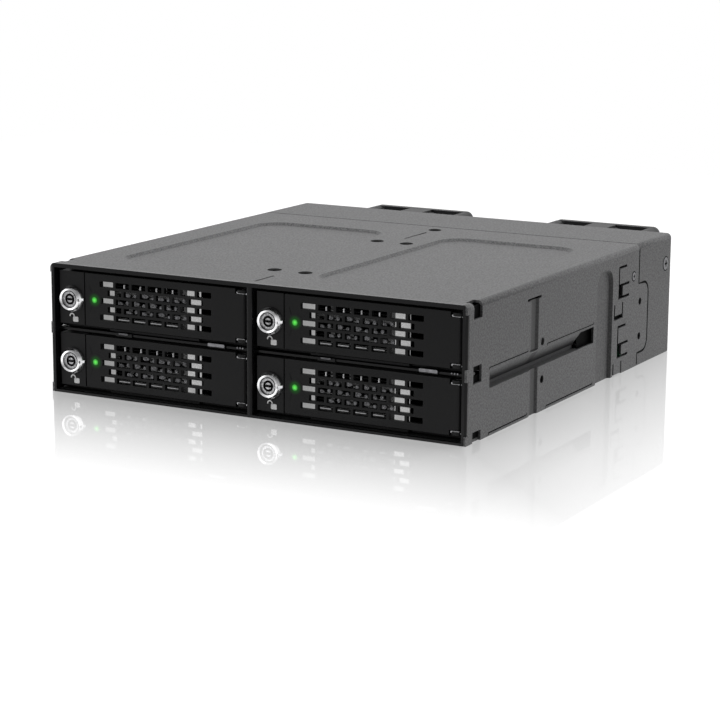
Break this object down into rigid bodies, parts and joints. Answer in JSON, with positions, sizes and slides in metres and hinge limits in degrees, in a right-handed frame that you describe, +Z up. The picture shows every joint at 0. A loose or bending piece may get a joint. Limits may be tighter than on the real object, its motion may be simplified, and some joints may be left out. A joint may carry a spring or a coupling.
{
  "type": "hot swap drive cage",
  "caption": "Drive cage for one 5.25 inch bay with slide-out trays for 2.5 inch drives, each with a vented lever door, push lock and indicator, and rear fans.",
  "frame": {"origin": "centre of the footprint at the level of the underside", "axes": "+X to the right seen from the front, +Y from the tray fronts to the fans, +Z up"},
  "size_m": [0.146, 0.1748, 0.0413],
  "materials": {
    "cover_paint": "fine textured black paint",
    "frame_gloss": "smooth black paint",
    "zinc_steel": "zinc plated",
    "board_green": "solder mask",
    "connector_black": "moulded",
    "fan_black": "moulded",
    "carrier_zinc": "zinc plated",
    "bezel_black": "fine grain",
    "door_black": "fine grain",
    "pin_steel": "ground",
    "indicator_green": "clear tinted",
    "lock_chrome": "polished",
    "key_core": "turned"
  },
  "bodies": {
    "cage": {"main_cover": "cover_paint", "rear_cover": "cover_paint", "bottom_plate": "cover_paint", "rear_panel": "cover_paint", "front_frame": "frame_gloss", "centre_wall": "zinc_steel", "outer_rail_right": "zinc_steel", "outer_rail_left": "zinc_steel", "inner_rail_right": "zinc_steel", "inner_rail_left": "zinc_steel", "backplane": "board_green", "backplane_bracket": "zinc_steel", "drive_sockets": "connector_black", "port_board": "board_green", "riser_board": "board_green", "host_ports": "connector_black", "power_inlets": "connector_black", "fan_frame_left": "fan_black", "fan_frame_right": "fan_black"},
    "fan_left": {"fan_rotor_left": "fan_black"},
    "fan_right": {"fan_rotor_right": "fan_black"},
    "upper_left_tray": {"upper_left_carrier": "carrier_zinc", "upper_left_bezel": "bezel_black", "upper_left_hinge_pin": "pin_steel", "upper_left_screen": "carrier_zinc"},
    "upper_left_lever": {"upper_left_door": "door_black", "upper_left_indicator": "indicator_green"},
    "upper_left_button": {"upper_left_lock_barrel": "lock_chrome"},
    "upper_left_key": {"upper_left_key_plug": "key_core"},
    "upper_right_tray": {"upper_right_carrier": "carrier_zinc", "upper_right_bezel": "bezel_black", "upper_right_hinge_pin": "pin_steel", "upper_right_screen": "carrier_zinc"},
    "upper_right_lever": {"upper_right_door": "door_black", "upper_right_indicator": "indicator_green"},
    "upper_right_button": {"upper_right_lock_barrel": "lock_chrome"},
    "upper_right_key": {"upper_right_key_plug": "key_core"},
    "lower_left_tray": {"lower_left_carrier": "carrier_zinc", "lower_left_bezel": "bezel_black", "lower_left_hinge_pin": "pin_steel", "lower_left_screen": "carrier_zinc"},
    "lower_left_lever": {"lower_left_door": "door_black", "lower_left_indicator": "indicator_green"},
    "lower_left_button": {"lower_left_lock_barrel": "lock_chrome"},
    "lower_left_key": {"lower_left_key_plug": "key_core"},
    "lower_right_tray": {"lower_right_carrier": "carrier_zinc", "lower_right_bezel": "bezel_black", "lower_right_hinge_pin": "pin_steel", "lower_right_screen": "carrier_zinc"},
    "lower_right_lever": {"lower_right_door": "door_black", "lower_right_indicator": "indicator_green"},
    "lower_right_button": {"lower_right_lock_barrel": "lock_chrome"},
    "lower_right_key": {"lower_right_key_plug": "key_core"}
  },
  "joints": [
    {"name": "fan_left_spin", "type": "hinge", "parent": "cage", "child": "fan_left", "pos_m": [-0.03, 0.07985, 0.02065], "axis": [0, 1, 0], "continuous": true},
    {"name": "fan_right_spin", "type": "hinge", "parent": "cage", "child": "fan_right", "pos_m": [0.043, 0.07985, 0.02065], "axis": [0, 1, 0], "continuous": true},
    {"name": "upper_left_slide", "type": "slide", "parent": "cage", "child": "upper_left_tray", "axis": [0, -1, 0], "range_m": [0, 0.112]},
    {"name": "upper_left_lever_swing", "type": "hinge", "parent": "upper_left_tray", "child": "upper_left_lever", "pos_m": [-0.0033, -0.0838, 0.03055], "axis": [0, 0, 1], "range_deg": [0, 85]},
    {"name": "upper_left_button_press", "type": "slide", "parent": "upper_left_tray", "child": "upper_left_button", "axis": [0, 1, 0], "range_m": [0, 0.0015], "stiffness_N_per_m": 500, "springref_m": -0.001},
    {"name": "upper_left_key_turn", "type": "hinge", "parent": "upper_left_button", "child": "upper_left_key", "pos_m": [-0.06575, -0.08485, 0.03025], "axis": [0, -1, 0], "range_deg": [0, 90]},
    {"name": "upper_right_slide", "type": "slide", "parent": "cage", "child": "upper_right_tray", "axis": [0, -1, 0], "range_m": [0, 0.112]},
    {"name": "upper_right_lever_swing", "type": "hinge", "parent": "upper_right_tray", "child": "upper_right_lever", "pos_m": [0.06915, -0.0838, 0.03055], "axis": [0, 0, 1], "range_deg": [0, 85]},
    {"name": "upper_right_button_press", "type": "slide", "parent": "upper_right_tray", "child": "upper_right_button", "axis": [0, 1, 0], "range_m": [0, 0.0015], "stiffness_N_per_m": 500, "springref_m": -0.001},
    {"name": "upper_right_key_turn", "type": "hinge", "parent": "upper_right_button", "child": "upper_right_key", "pos_m": [0.0067, -0.08485, 0.03025], "axis": [0, -1, 0], "range_deg": [0, 90]},
    {"name": "lower_left_slide", "type": "slide", "parent": "cage", "child": "lower_left_tray", "axis": [0, -1, 0], "range_m": [0, 0.112]},
    {"name": "lower_left_lever_swing", "type": "hinge", "parent": "lower_left_tray", "child": "lower_left_lever", "pos_m": [-0.0033, -0.0838, 0.01075], "axis": [0, 0, 1], "range_deg": [0, 85]},
    {"name": "lower_left_button_press", "type": "slide", "parent": "lower_left_tray", "child": "lower_left_button", "axis": [0, 1, 0], "range_m": [0, 0.0015], "stiffness_N_per_m": 500, "springref_m": -0.001},
    {"name": "lower_left_key_turn", "type": "hinge", "parent": "lower_left_button", "child": "lower_left_key", "pos_m": [-0.06575, -0.08485, 0.01045], "axis": [0, -1, 0], "range_deg": [0, 90]},
    {"name": "lower_right_slide", "type": "slide", "parent": "cage", "child": "lower_right_tray", "axis": [0, -1, 0], "range_m": [0, 0.112]},
    {"name": "lower_right_lever_swing", "type": "hinge", "parent": "lower_right_tray", "child": "lower_right_lever", "pos_m": [0.06915, -0.0838, 0.01075], "axis": [0, 0, 1], "range_deg": [0, 85]},
    {"name": "lower_right_button_press", "type": "slide", "parent": "lower_right_tray", "child": "lower_right_button", "axis": [0, 1, 0], "range_m": [0, 0.0015], "stiffness_N_per_m": 500, "springref_m": -0.001},
    {"name": "lower_right_key_turn", "type": "hinge", "parent": "lower_right_button", "child": "lower_right_key", "pos_m": [0.0067, -0.08485, 0.01045], "axis": [0, -1, 0], "range_deg": [0, 90]}
  ]
}
